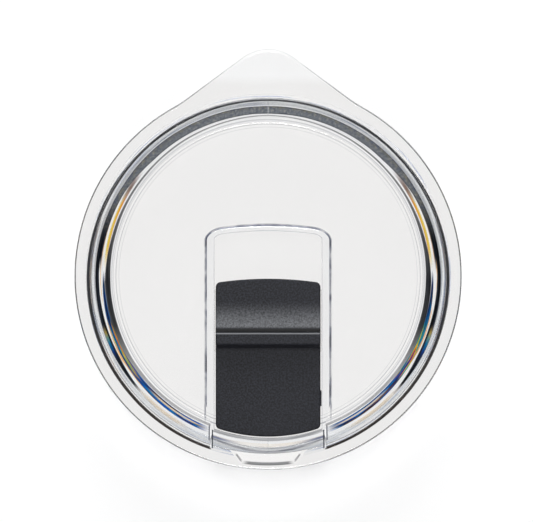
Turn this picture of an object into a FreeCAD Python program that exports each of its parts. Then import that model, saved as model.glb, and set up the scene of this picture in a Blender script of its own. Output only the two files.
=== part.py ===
import FreeCAD, Part
import math
import os

# Press-in tumbler lid with a sliding cover over its drink hole. Sizes are in millimetres, +Z is up.
# The origin is on the plug's axis at the underside of the floor. The sip side faces -Y and the thumb
# tab faces +Y. The slider is shown shut and opens towards +Y.

# The cup's mouth that the lid is pressed into.
MOUTH_RADIUS = 42.0
PLUG_CLEARANCE = 0.7  # radial, between the plug's lands and the mouth
GASKET_SQUEEZE = 0.5  # radial, how far the free lips stand past the mouth

# Flange and thumb tab.
FLANGE_OVERHANG = 3.0  # past the mouth, over the cup's rim
FLANGE_THICKNESS = 2.0
FLANGE_EDGE_ROUND = 0.6
TAB_REACH = 7.7  # past the flange
TAB_TIP_RADIUS = 10.0
TAB_FLANK_SINK = 0.55  # how far inside the flange's edge the straight flanks aim
TAB_BLEND_RADIUS = 30.0  # hollow blend from a flank into the flange

# Plug, well and floor.
PLUG_DEPTH = 13.0  # underside of the floor to underside of the flange
PLUG_FOOT_ROUND = 1.6
FLOOR_THICKNESS = 2.2
WELL_WALL = 1.2  # at the flange, between the well and the plug's land
WELL_DRAFT = 14.5  # degrees, how far the well's wall leans out
WELL_FILLET = 1.5
WELL_LIP_ROUND = 0.5

# Gasket groove round the plug, and the gasket in it.
GROOVE_ABOVE_FOOT = 5.0
GROOVE_HEIGHT = 4.4
GROOVE_DEPTH = 1.6
GASKET_PLAY = 0.1
GASKET_LIPS = 2
LIP_ROOT = 1.1
LIP_TIP = 0.7

# Raised channel that the slider runs in. It is open towards the sip side.
CHANNEL_WIDTH = 25.0
CHANNEL_REACH = 10.5  # from the axis to the inside of its closed end
CHANNEL_SIDE_WALL = 2.1
CHANNEL_END_WALL = 1.5
CHANNEL_HEIGHT = 4.8  # above the floor
CHANNEL_CROWN = 81.0  # radius of the bowed end, inside
CHANNEL_INNER_CORNER = 1.9
CHANNEL_OUTER_CORNER = 3.6
CHANNEL_EDGE_ROUND = 0.4
NECK_WALL = 0.9  # side walls where they have thinned, beside the spout
NECK_LENGTH = 5.0  # over which they thin

# Spout between the channel's walls, and the dip in the flange that the lip meets.
SPOUT_WALL = 2.0  # between the spout's upright face and the groove
SPOUT_SILL = 6.2  # top of that face above the floor
SPOUT_REACH = 0.7  # past the plug's land, where the ramp meets the flange's top
SPOUT_FLARE = 1.1  # how far each side opens by the flange's top
DIP_DEPTH = 0.9
DIP_REACH = 1.8  # past the ramp
DIP_WIDTH = 12.0  # along its outer side
DIP_FLARE = 3.0  # how far each side opens towards the ramp

# Slider.
SIDE_PLAY = 0.3
END_PLAY = 0.3  # at the spout when shut, and at the closed end when open
SLIDER_TRAVEL = 10.8
SLIDER_THICKNESS = 4.0
SLIDER_CORNER = 1.2
SLIDER_EDGE_ROUND = 0.35
SLIDER_SKIN = 1.4  # over and beside the pockets under it
SLIDER_RIB = 1.2  # between those pockets
SCOOP_FROM_REAR = 5.7
SCOOP_LENGTH = 6.9
RIDGE_HEIGHT = 3.8  # above the slider's flat top
RIDGE_WIDTH = 2.7  # along Y, at its top
RIDGE_FRONT_RUN = 0.8
RIDGE_ROUND = 0.45
NUB_LENGTH = 3.7
NUB_FROM_FRONT = 7.1
NUB_PROUD = 0.25

# Rails on the channel's walls, in grooves in the slider's flanks.
RAIL_ABOVE_FLOOR = 1.6
RAIL_HEIGHT = 1.0
RAIL_DEPTH = 0.9
RAIL_PLAY = 0.15
RAIL_END_MARGIN = 1.5

# Drink hole, and the silicone pad under the slider that shuts it.
HOLE_WIDTH = 16.0
HOLE_LENGTH = 6.0
HOLE_SET_BACK = 2.2  # behind the slider's front
HOLE_CORNER = 2.0
PAD_BORDER = 1.3  # round the hole
PAD_THICKNESS = 1.2
PAD_PLAY = 0.1
PAD_CORNER = 2.4
STEM_RADIUS = 1.3
STEM_HEIGHT = 1.3  # above the pad
STEM_SPACING = 12.0

OVERLAP = 0.5  # how far a tool or a joined piece runs into its neighbour
TINY = 0.001  # what counts as level or straight when edges are picked

plug_radius = MOUTH_RADIUS - PLUG_CLEARANCE
lip_radius = MOUTH_RADIUS + GASKET_SQUEEZE
flange_radius = MOUTH_RADIUS + FLANGE_OVERHANG
groove_radius = plug_radius - GROOVE_DEPTH
top = PLUG_DEPTH + FLANGE_THICKNESS
floor = FLOOR_THICKNESS
well_radius = plug_radius - WELL_WALL
well_foot_radius = well_radius - (top - floor) * math.tan(math.radians(WELL_DRAFT))

channel_half = CHANNEL_WIDTH / 2
channel_top = floor + CHANNEL_HEIGHT
spout_radius = groove_radius - SPOUT_WALL
ramp_radius = plug_radius + SPOUT_REACH

slider_half = channel_half - SIDE_PLAY
slider_front = spout_radius - END_PLAY
slider_rear = CHANNEL_REACH - END_PLAY - SLIDER_TRAVEL
slider_top = floor + SLIDER_THICKNESS

hole_front = slider_front - HOLE_SET_BACK
hole_rear = hole_front - HOLE_LENGTH


def point(x, y, z=0.0):
    return FreeCAD.Vector(x, y, z)


def solid_of(shape):
    """The one solid that a boolean leaves, with split faces joined again."""
    return shape.removeSplitter().Solids[0]


def polygon_face(points):
    return Part.Face(Part.makePolygon(points + points[:1]))


def turned(outline):
    """The solid that a closed outline of edges sweeps round the Z axis."""
    face = Part.Face(Part.Wire(outline))
    return face.revolve(point(0, 0, 0), point(0, 0, 1), 360)


def turned_polygon(pairs):
    """A turned solid from (radius, height) corners."""
    return polygon_face([point(r, 0, z) for r, z in pairs]).revolve(
        point(0, 0, 0), point(0, 0, 1), 360
    )


def plate(face, bottom, height):
    return face.translated(point(0, 0, bottom)).extrude(point(0, 0, height))


def cylinder(radius, bottom, height):
    return Part.makeCylinder(radius, height, point(0, 0, bottom))


def box(x, y, z):
    """A block from its two ends along each axis, in either order."""
    low, high = (point(*(pick(ends) for ends in (x, y, z))) for pick in (min, max))
    return Part.makeBox(*(high - low), low)


def upright_edges(shape):
    return [
        edge
        for edge in shape.Edges
        if len(edge.Vertexes) == 2
        and abs(edge.tangentAt(edge.FirstParameter).z) > 1 - TINY
    ]


def edges_at(shape, height):
    return [
        edge
        for edge in shape.Edges
        if abs(edge.BoundBox.ZMin - height) < TINY
        and abs(edge.BoundBox.ZMax - height) < TINY
    ]


def rounded_corners(shape, radius):
    return shape.makeFillet(radius, upright_edges(shape))


def rounded_corner(before, corner, after, radius):
    """An arc of this radius in the corner of two straight runs, with the points where it starts and ends."""
    to_before = (before - corner).normalize()
    to_after = (after - corner).normalize()
    half = to_before.getAngle(to_after) / 2
    start = corner + to_before * (radius / math.tan(half))
    end = corner + to_after * (radius / math.tan(half))
    middle_way = (to_before + to_after).normalize()
    middle = corner + middle_way * (radius / math.sin(half) - radius)
    return Part.Arc(start, middle, end).toShape(), start, end


# Lid body


def flange_outline():
    """The flange's circle with the thumb tab's two straight flanks, round tip and hollow blends."""
    tip_centre = flange_radius + TAB_REACH - TAB_TIP_RADIUS
    flank_offset = flange_radius - TAB_FLANK_SINK
    slope = math.acos((flank_offset - TAB_TIP_RADIUS) / tip_centre)
    across = point(math.sin(slope), math.cos(slope))
    along = point(-math.cos(slope), math.sin(slope))  # from the flange up to the tip

    hub = flank_offset + TAB_BLEND_RADIUS
    run = math.sqrt((flange_radius + TAB_BLEND_RADIUS) ** 2 - hub**2)
    blend_centre = across * hub + along * run
    on_circle = blend_centre * (flange_radius / blend_centre.Length)
    on_flank = blend_centre - across * TAB_BLEND_RADIUS
    halfway = (on_circle + on_flank) * 0.5 - blend_centre
    in_blend = blend_centre + halfway * (TAB_BLEND_RADIUS / halfway.Length)
    on_tip = point(0, tip_centre) + across * TAB_TIP_RADIUS

    def mirrored(v):
        return point(-v.x, v.y)

    apex = point(0, flange_radius + TAB_REACH)
    foot = point(0, -flange_radius)
    return [
        Part.Arc(on_circle, in_blend, on_flank).toShape(),
        Part.makeLine(on_flank, on_tip),
        Part.Arc(on_tip, apex, mirrored(on_tip)).toShape(),
        Part.makeLine(mirrored(on_tip), mirrored(on_flank)),
        Part.Arc(mirrored(on_flank), mirrored(in_blend), mirrored(on_circle)).toShape(),
        Part.Arc(mirrored(on_circle), foot, on_circle).toShape(),
    ]


def flange():
    sheet = plate(Part.Face(Part.Wire(flange_outline())), PLUG_DEPTH, FLANGE_THICKNESS)
    rims = edges_at(sheet, PLUG_DEPTH) + edges_at(sheet, top)
    return sheet.makeFillet(FLANGE_EDGE_ROUND, rims)


def plug():
    """The plain plug under the flange, with its foot rounded to lead it into the mouth."""
    blank = cylinder(plug_radius, 0, PLUG_DEPTH + OVERLAP)
    return blank.makeFillet(PLUG_FOOT_ROUND, edges_at(blank, 0)[:1])


def well():
    """The space inside the plug, with a fillet round its floor and a rounded lip at the flange."""
    centre = point(0, 0, floor)
    foot = point(well_foot_radius, 0, floor)
    lip = point(well_radius, 0, top)
    outside = point(plug_radius, 0, top)
    fillet, floor_end, wall_start = rounded_corner(centre, foot, lip, WELL_FILLET)
    lip_arc, wall_end, lip_end = rounded_corner(foot, lip, outside, WELL_LIP_ROUND)
    rise = point(0, 0, OVERLAP)
    above_centre = point(0, 0, top) + rise
    return turned(
        [
            Part.makeLine(centre, floor_end),
            fillet,
            Part.makeLine(wall_start, wall_end),
            lip_arc,
            Part.makeLine(lip_end, lip_end + rise),
            Part.makeLine(lip_end + rise, above_centre),
            Part.makeLine(above_centre, centre),
        ]
    )


def gasket_groove():
    ring = cylinder(plug_radius + OVERLAP, GROOVE_ABOVE_FOOT, GROOVE_HEIGHT)
    return ring.cut(cylinder(groove_radius, GROOVE_ABOVE_FOOT, GROOVE_HEIGHT))


def bowed_end(half, reach, crown, front):
    """A face with straight sides from y = front back to an end that bows out to y = reach."""
    drop = crown - math.sqrt(crown**2 - half**2)
    rear = [point(half, reach - drop), point(-half, reach - drop)]
    arc = Part.Arc(rear[0], point(0, reach), rear[1]).toShape()
    sides = Part.makePolygon([rear[1], point(-half, front), point(half, front), rear[0]])
    return Part.Face(Part.Wire([arc] + sides.Edges))


def channel_outside():
    """The channel's outer block, whose sides step in at the neck beside the spout."""
    half = channel_half + CHANNEL_SIDE_WALL
    crown = CHANNEL_CROWN + CHANNEL_END_WALL
    face = bowed_end(half, CHANNEL_REACH + CHANNEL_END_WALL, crown, -slider_front)
    block = plate(face, floor - OVERLAP, CHANNEL_HEIGHT + OVERLAP)
    rear_corners = [e for e in upright_edges(block) if e.BoundBox.YMin > 0]
    block = block.makeFillet(CHANNEL_OUTER_CORNER, rear_corners)
    neck_half = channel_half + NECK_WALL
    neck_end = -math.sqrt(well_foot_radius**2 - neck_half**2)
    neck_start = neck_end + NECK_LENGTH
    for side in (1, -1):
        trim = polygon_face(
            [
                point(side * half, neck_start),
                point(side * neck_half, neck_end),
                point(side * neck_half, -flange_radius),
                point(side * (half + OVERLAP), -flange_radius),
                point(side * (half + OVERLAP), neck_start),
            ]
        )
        block = block.cut(plate(trim, floor - 2 * OVERLAP, CHANNEL_HEIGHT + 3 * OVERLAP))
    return block.makeFillet(
        CHANNEL_EDGE_ROUND,
        [e for e in edges_at(block, channel_top) if e.BoundBox.YMax > -slider_front + OVERLAP],
    )


def channel_space():
    """What the slider runs in. Its mouth goes on to the spout."""
    face = bowed_end(channel_half, CHANNEL_REACH, CHANNEL_CROWN, -slider_front - OVERLAP)
    space = plate(face, floor, CHANNEL_HEIGHT + OVERLAP)
    rear_corners = [e for e in upright_edges(space) if e.BoundBox.YMin > 0]
    return space.makeFillet(CHANNEL_INNER_CORNER, rear_corners)


def rail_ends():
    """The front and rear of the rails, which the slider hides both shut and open."""
    flank_front = -math.sqrt(slider_front**2 - slider_half**2)
    flank_rear = slider_rear - (CHANNEL_CROWN - math.sqrt(CHANNEL_CROWN**2 - slider_half**2))
    return flank_front + SLIDER_TRAVEL + RAIL_END_MARGIN, flank_rear - RAIL_END_MARGIN


def rails():
    bottom = floor + RAIL_ABOVE_FLOOR
    inner = channel_half - RAIL_DEPTH
    outer = channel_half + OVERLAP
    return [
        box((side * inner, side * outer), rail_ends(), (bottom, bottom + RAIL_HEIGHT))
        for side in (1, -1)
    ]


def channel():
    walls = channel_outside().cut(channel_space())
    return solid_of(walls.multiFuse(rails()))


def spout():
    """The cut between the channel's walls: an upright face near the slider, then a ramp up to the flange."""
    sill = floor + SPOUT_SILL
    inner = spout_radius / 2
    ramp = turned_polygon(
        [
            (inner, floor),
            (spout_radius, floor),
            (spout_radius, sill),
            (ramp_radius, top),
            (ramp_radius, top + OVERLAP),
            (inner, top + OVERLAP),
        ]
    )
    flared = channel_half + SPOUT_FLARE
    section = polygon_face(
        [
            point(-channel_half, 0, floor),
            point(channel_half, 0, floor),
            point(channel_half, 0, channel_top),
            point(flared, 0, top + OVERLAP),
            point(-flared, 0, top + OVERLAP),
            point(-channel_half, 0, channel_top),
        ]
    )
    return ramp.common(section.extrude(point(0, -flange_radius, 0)))


def sip_dip():
    """The shallow dip in the flange beyond the spout's ramp."""
    outer = ramp_radius + DIP_REACH
    inner = ramp_radius - DIP_REACH
    wedge = turned_polygon(
        [
            (inner, top - 2 * DIP_DEPTH),
            (outer, top),
            (outer, top + OVERLAP),
            (inner, top + OVERLAP),
        ]
    )
    wide = DIP_WIDTH / 2 + DIP_FLARE
    plan = polygon_face(
        [
            point(-DIP_WIDTH / 2, -outer),
            point(-wide, -ramp_radius + DIP_REACH),
            point(wide, -ramp_radius + DIP_REACH),
            point(DIP_WIDTH / 2, -outer),
        ]
    )
    return wedge.common(plate(plan, PLUG_DEPTH, top))


def hole_outline(border):
    """The drink hole's outline, grown by a border. Its front follows the lid's round edge."""
    half = HOLE_WIDTH / 2 + border
    front = hole_front + border
    rear = -(hole_rear - border)
    corner_y = -math.sqrt(front**2 - half**2)
    arc = Part.Arc(point(-half, corner_y), point(0, -front), point(half, corner_y)).toShape()
    sides = Part.makePolygon(
        [point(half, corner_y), point(half, rear), point(-half, rear), point(-half, corner_y)]
    )
    return Part.Face(Part.Wire([arc] + sides.Edges))


def drink_hole():
    depth = FLOOR_THICKNESS + 2 * OVERLAP
    return rounded_corners(plate(hole_outline(0), -OVERLAP, depth), HOLE_CORNER)


def lid_body():
    blank = flange().fuse(plug()).cut(well()).cut(gasket_groove())
    body = blank.fuse(channel())
    return solid_of(body.cut(spout()).cut(sip_dip()).cut(drink_hole()))


# Gasket


def mouth_gasket():
    """The silicone ring in the plug's groove: a band with thin lips that press on the mouth."""
    bottom = GROOVE_ABOVE_FOOT + GASKET_PLAY
    height = GROOVE_HEIGHT - 2 * GASKET_PLAY
    inner = groove_radius + GASKET_PLAY
    outer = plug_radius - GASKET_PLAY
    ring = cylinder(outer, bottom, height).cut(cylinder(inner, bottom, height))
    pitch = height / GASKET_LIPS
    root = (inner + outer) / 2
    for index in range(GASKET_LIPS):
        middle = bottom + pitch * (index + 0.5)
        lip = turned_polygon(
            [
                (root, middle - LIP_ROOT / 2),
                (lip_radius, middle - LIP_TIP / 2),
                (lip_radius, middle + LIP_TIP / 2),
                (root, middle + LIP_ROOT / 2),
            ]
        )
        ring = ring.fuse(lip)
    return solid_of(ring)


# Slider and its pad


def ridge_arc(y, z, radius):
    """The rounded crest where the scoop's upright end turns into the ridge's flat top."""
    hub = point(0, y - radius, z - radius)
    middle = hub + point(0, math.sqrt(0.5), math.sqrt(0.5)) * radius
    return Part.Arc(point(0, y, z - radius), middle, point(0, y - radius, z)).toShape()


def scoop_arc(start, end):
    """A quarter of an ellipse that leaves start level and reaches end upright."""
    hub = point(0, start.y, end.z)
    ellipse = Part.Ellipse(end, start, hub)
    first, last = sorted((ellipse.parameter(start), ellipse.parameter(end)))
    if last - first > math.pi:
        first, last = last - 2 * math.pi, first
    return ellipse.toShape(first, last)


def above_slider():
    """All that lies above the slider's flat top, scoop and ridge, to be cut from its block."""
    high = slider_top + RIDGE_HEIGHT + OVERLAP
    ridge_top = slider_top + RIDGE_HEIGHT
    start = point(0, slider_rear - SCOOP_FROM_REAR, slider_top)
    crest = start.y - SCOOP_LENGTH
    ridge_front = crest - RIDGE_WIDTH
    ridge_foot = ridge_front - RIDGE_FRONT_RUN

    scoop_end = point(0, crest, ridge_top - RIDGE_ROUND)
    crest_end = point(0, crest - RIDGE_ROUND, ridge_top)
    corner = point(0, ridge_front, ridge_top)
    foot = point(0, ridge_foot, slider_top)
    front = point(0, -flange_radius, slider_top)
    shoulder, shoulder_start, shoulder_end = rounded_corner(crest_end, corner, foot, RIDGE_ROUND)
    hollow, hollow_start, hollow_end = rounded_corner(corner, foot, front, RIDGE_ROUND)
    rest = Part.makePolygon(
        [
            hollow_end,
            front,
            point(0, -flange_radius, high),
            point(0, CHANNEL_REACH, high),
            point(0, CHANNEL_REACH, slider_top),
            start,
        ]
    )
    outline = [
        scoop_arc(start, scoop_end),
        ridge_arc(crest, ridge_top, RIDGE_ROUND),
        Part.makeLine(crest_end, shoulder_start),
        shoulder,
        Part.makeLine(shoulder_end, hollow_start),
        hollow,
    ] + rest.Edges
    face = Part.Face(Part.Wire(outline))
    face.translate(point(-channel_half, 0, 0))
    return face.extrude(point(CHANNEL_WIDTH, 0, 0))


def slider_block():
    """The slider's outside: round front, straight flanks, bowed rear, scooped and ridged top."""
    face = bowed_end(slider_half, slider_rear, CHANNEL_CROWN, -flange_radius)
    height = SLIDER_THICKNESS + RIDGE_HEIGHT
    blank = plate(face, floor, height).common(cylinder(slider_front, floor, height))
    block = solid_of(rounded_corners(blank, SLIDER_CORNER).cut(above_slider()))
    rim = [
        edge
        for edge in block.Edges
        if edge.BoundBox.ZMin > slider_top - TINY and edge.BoundBox.YLength > TINY
    ]
    return block.makeFillet(SLIDER_EDGE_ROUND, rim)


def flank_grooves():
    """The grooves that the channel's rails run in."""
    bottom = floor + RAIL_ABOVE_FLOOR - RAIL_PLAY
    height = RAIL_HEIGHT + 2 * RAIL_PLAY
    inner = channel_half - RAIL_DEPTH - SIDE_PLAY
    length = (-flange_radius, CHANNEL_REACH)
    return [
        box((side * inner, side * channel_half), length, (bottom, bottom + height))
        for side in (1, -1)
    ]


def underside_pockets():
    """Four pockets behind the pad that leave the slider an even wall, with ribs between them."""
    half = channel_half - RAIL_DEPTH - SIDE_PLAY - SLIDER_SKIN
    front = -(hole_rear - PAD_BORDER - PAD_PLAY) + SLIDER_SKIN
    flank_drop = CHANNEL_CROWN - math.sqrt(CHANNEL_CROWN**2 - slider_half**2)
    rear = slider_rear - flank_drop - SLIDER_SKIN
    middle = (front + rear) / 2
    ceiling = slider_top - SLIDER_SKIN
    spans = ((front, middle - SLIDER_RIB / 2), (middle + SLIDER_RIB / 2, rear))
    return [
        box((side * SLIDER_RIB / 2, side * half), span, (floor - OVERLAP, ceiling))
        for side in (1, -1)
        for span in spans
    ]


def stems(radius, bottom, height):
    middle = -(hole_front + hole_rear) / 2
    return [
        Part.makeCylinder(radius, height, point(side * STEM_SPACING / 2, middle, bottom))
        for side in (1, -1)
    ]


def pad_seat():
    """The recess under the slider's front that holds the pad, with a socket for each stem."""
    depth = PAD_THICKNESS + 2 * PAD_PLAY
    recess = plate(hole_outline(PAD_BORDER + PAD_PLAY), floor - OVERLAP, depth + OVERLAP)
    sockets = stems(STEM_RADIUS + PAD_PLAY, floor, depth + STEM_HEIGHT)
    return rounded_corners(recess, PAD_CORNER).multiFuse(sockets)


def friction_nub():
    """The nub on the right flank that keeps the slider from rattling in the channel."""
    front = -slider_front + NUB_FROM_FRONT
    bottom = floor + RAIL_ABOVE_FLOOR + RAIL_HEIGHT + RAIL_PLAY
    return box(
        (slider_half - OVERLAP, slider_half + NUB_PROUD),
        (front, front + NUB_LENGTH),
        (bottom, slider_top - SLIDER_EDGE_ROUND),
    )


def slider():
    hollows = flank_grooves() + underside_pockets() + [pad_seat()]
    return solid_of(slider_block().cut(hollows).fuse(friction_nub()))


def slider_seal():
    """The silicone pad that lies over the drink hole, held in the slider by two stems."""
    bottom = floor + PAD_PLAY
    pad = rounded_corners(plate(hole_outline(PAD_BORDER), bottom, PAD_THICKNESS), PAD_CORNER)
    height = PAD_THICKNESS + STEM_HEIGHT
    return solid_of(pad.multiFuse(stems(STEM_RADIUS, bottom, height)))


os.makedirs("parts", exist_ok=True)
NODES = {
    "lid_body": lid_body,
    "mouth_gasket": mouth_gasket,
    "slider": slider,
    "slider_seal": slider_seal,
}
for name, make in NODES.items():
    make().exportStep("parts/" + name + ".step")
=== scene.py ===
import math
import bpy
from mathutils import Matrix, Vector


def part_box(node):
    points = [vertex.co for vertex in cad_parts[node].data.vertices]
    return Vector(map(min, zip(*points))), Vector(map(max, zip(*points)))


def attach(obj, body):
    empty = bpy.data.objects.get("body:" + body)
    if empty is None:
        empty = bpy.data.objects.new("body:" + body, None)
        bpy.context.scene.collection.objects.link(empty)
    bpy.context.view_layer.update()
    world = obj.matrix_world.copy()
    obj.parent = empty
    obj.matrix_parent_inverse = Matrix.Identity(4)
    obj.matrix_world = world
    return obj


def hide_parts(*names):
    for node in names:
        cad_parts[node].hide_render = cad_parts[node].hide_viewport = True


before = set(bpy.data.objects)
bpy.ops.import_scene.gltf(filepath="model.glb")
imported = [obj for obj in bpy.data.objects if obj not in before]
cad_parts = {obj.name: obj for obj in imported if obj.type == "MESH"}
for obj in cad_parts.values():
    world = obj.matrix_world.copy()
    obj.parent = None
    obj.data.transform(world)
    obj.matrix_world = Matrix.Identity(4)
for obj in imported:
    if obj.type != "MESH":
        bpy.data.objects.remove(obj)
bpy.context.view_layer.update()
import types

import bmesh
import bpy
from mathutils import Vector

bl_info = {
    "name": "Press-in Tumbler Lid",
    "version": (1, 0, 0),
    "blender": (4, 5, 0),
    "location": "View3D > Sidebar > Lid",
    "description": "Dresses the packed tumbler lid: clear moulding, gasket, slider, seal and studio",
    "category": "Object",
}

MM = 0.001
LID_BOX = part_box("lid_body")
GASKET_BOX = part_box("mouth_gasket")
LID_TOP = LID_BOX[1][2]
TURN_STEPS = 480  # faces round a turned shape
SCOOP_HEIGHT = 6.2  # of the slider's flat top, in millimetres
FLOOR_GAP = 0.05 * MM  # keeps the lid's underside and the floor apart for the renderer
OVERLAP = 0.5  # how far a tool runs past what it cuts or joins, in millimetres
MERGE = 1e-5  # points nearer than this are one point, in millimetres
LEVEL = 1e-4  # heights and places nearer than this are the same, in millimetres
RIGHT_ANGLED = 60.0  # degrees; an edge that turns more is to be rounded
CREASED = 24.0  # degrees; an edge that turns more is shaded as sharp


# Node helpers


class Number:
    """A number that nodes work out at each point. Sums with it, and its methods, add nodes."""

    def __init__(self, recipe, socket):
        self.recipe = recipe
        self.socket = socket

    def math(self, operation, first, second=0.0):
        made = self.recipe.node("ShaderNodeMath", {0: first, 1: second}, operation=operation)
        return Number(self.recipe, made.outputs[0])

    def __add__(self, other):
        return self.math("ADD", self, other)

    def __radd__(self, other):
        return self.math("ADD", other, self)

    def __sub__(self, other):
        return self.math("SUBTRACT", self, other)

    def __rsub__(self, other):
        return self.math("SUBTRACT", other, self)

    def __mul__(self, other):
        return self.math("MULTIPLY", self, other)

    def __truediv__(self, other):
        return self.math("DIVIDE", self, other)

    def __abs__(self):
        return self.math("ABSOLUTE", self)

    def root(self):
        return self.math("SQRT", self)

    def or_more(self, other):
        return self.math("MAXIMUM", self, other)

    def mapped(self, low, high, curve="LINEAR"):
        """0 at low and 1 at high, and no further."""
        ends = {"Value": self, "From Min": low, "From Max": high}
        made = self.recipe.node("ShaderNodeMapRange", ends, interpolation_type=curve)
        return Number(self.recipe, made.outputs["Result"])

    def smooth(self, low, high):
        """0 below low, 1 above high, with an eased step between. It falls when low is above high."""
        return self.mapped(low, high, "SMOOTHSTEP")

    def window(self, low, high, soft):
        """1 between low and high, with an eased step at each."""
        return self.smooth(low - soft, low + soft) * (1.0 - self.smooth(high - soft, high + soft))

    def ramp(self, stops, low=0.0, high=1.0):
        """Colours along a value that runs from low to high."""
        made = self.recipe.node("ShaderNodeValToRGB", {0: self.mapped(low, high)})
        points = made.color_ramp.elements
        while len(points) < len(stops):
            points.new(1.0)
        for point, (where, colour) in zip(points, stops):
            point.position = (where - low) / (high - low)
            point.color = (*colour, 1.0)
        return made.outputs["Color"]

    def profile(self, stops):
        """A number that follows straight runs between (value, number) pairs."""
        low, high = stops[0][0], stops[-1][0]
        least = min(number for _, number in stops)
        most = max(number for _, number in stops)
        shares = [(where, ((number - least) / (most - least),) * 3) for where, number in stops]
        return Number(self.recipe, self.ramp(shares, low, high)) * (most - least) + least


class Recipe:
    """A material or world whose nodes are added and joined by short calls."""

    def __init__(self, owner):
        owner.use_nodes = True
        self.owner = owner
        self.tree = owner.node_tree
        self.shader = self.tree.nodes.get("Principled BSDF")

    def existing(self, name):
        return self.tree.nodes[name]

    def put(self, socket, value):
        """Joins a socket to another node's output, or writes a plain value in it."""
        if isinstance(value, Number):
            value = value.socket
        if isinstance(value, bpy.types.NodeSocket):
            self.tree.links.new(value, socket)
        else:
            socket.default_value = value

    def fill(self, shader, values):
        for name, value in values.items():
            self.put(shader.inputs[name], value)

    def node(self, kind, inputs=(), **settings):
        made = self.tree.nodes.new(kind)
        for key, value in settings.items():
            setattr(made, key, value)
        self.fill(made, dict(inputs))
        return made

    def mix(self, factor, first, second):
        made = self.node("ShaderNodeMix", data_type="RGBA")
        self.put(made.inputs["Factor"], factor)
        for socket, value in ((made.inputs[6], first), (made.inputs[7], second)):
            self.put(socket, (*value, 1.0) if isinstance(value, tuple) and len(value) == 3 else value)
        return made.outputs[2]

    def join(self, x, y, z=0.0):
        return self.node("ShaderNodeCombineXYZ", {0: x, 1: y, 2: z}).outputs[0]

    def noise(self, vector, scale, detail=3.0, roughness=0.5):
        inputs = {"Vector": vector, "Scale": scale, "Detail": detail, "Roughness": roughness}
        return Number(self, self.node("ShaderNodeTexNoise", inputs).outputs["Fac"])

    def streaks(self, turn, radius, along, across, seed):
        """Noise drawn out round the lid: how fast it changes per degree and per millimetre."""
        return self.noise(self.join(turn * along, radius * across, seed), 1.0)

    def blend(self, factor, first, second):
        return self.node("ShaderNodeMixShader", {0: factor, 1: first, 2: second}).outputs[0]

    def show(self, shader):
        self.put(self.existing("Material Output").inputs["Surface"], shader)

    def bump(self, height, strength):
        """Relief of a tenth of a millimetre at most, as a normal."""
        inputs = {"Height": height, "Strength": strength, "Distance": 0.1 * MM}
        return self.node("ShaderNodeBump", inputs).outputs[0]

    def place(self):
        """Where a point lies on the lid in millimetres: x, y, z, radius, and degrees from the tab."""
        coords = self.node("ShaderNodeTexCoord").outputs["Object"]
        parts = self.node("ShaderNodeSeparateXYZ", {0: coords}).outputs
        x, y, z = (Number(self, parts[i]) / MM for i in range(3))
        turn = x.math("ARCTAN2", x, y) * (180.0 / math.pi)
        return x, y, z, (x * x + y * y).root(), turn


class Layers:
    """Paint for plastic that bends light: each layer has a colour and how clear it is, from 0 to 1."""

    def __init__(self, recipe, colour, clearness):
        self.recipe = recipe
        self.colour = colour
        self.clearness = (clearness,) * 3

    def lay(self, factor, colour, clearness):
        if isinstance(clearness, float):
            clearness = (clearness,) * 3
        self.colour = self.recipe.mix(factor, self.colour, colour)
        self.clearness = self.recipe.mix(factor, self.clearness, clearness)

    def finish(self, index, roughness, gloss):
        """Sends light straight on where it is clear, as the layers already show what bending would show."""
        recipe = self.recipe
        look = {"Roughness": roughness, "IOR": index, "Specular IOR Level": gloss}
        recipe.fill(recipe.shader, {"Base Color": self.colour, **look})
        open_way = recipe.node("ShaderNodeBsdfTransparent", {0: self.colour}).outputs[0]
        made = recipe.blend(self.clearness, recipe.shader.outputs[0], open_way)
        let_light_through(recipe, made, (0.98, 0.98, 0.98))


def new_recipe(name):
    return Recipe(bpy.data.materials.new(name))


def let_light_through(recipe, shader, shade):
    """Lets the lamps shine through the clear plastic, so that it doesn't black out what it stands on."""
    open_way = recipe.node("ShaderNodeBsdfTransparent", {0: (*shade, 1.0)}).outputs[0]
    is_shadow = recipe.node("ShaderNodeLightPath").outputs["Is Shadow Ray"]
    recipe.show(recipe.blend(is_shadow, shader, open_way))


def tint_depth(recipe, finishes):
    """Colours light by how far it goes through the plastic."""
    inputs = {"Color": (*finishes.depth_tint, 1.0), "Density": finishes.depth_density}
    body = recipe.node("ShaderNodeVolumeAbsorption", inputs).outputs[0]
    recipe.put(recipe.existing("Material Output").inputs["Volume"], body)


# Materials


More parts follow.
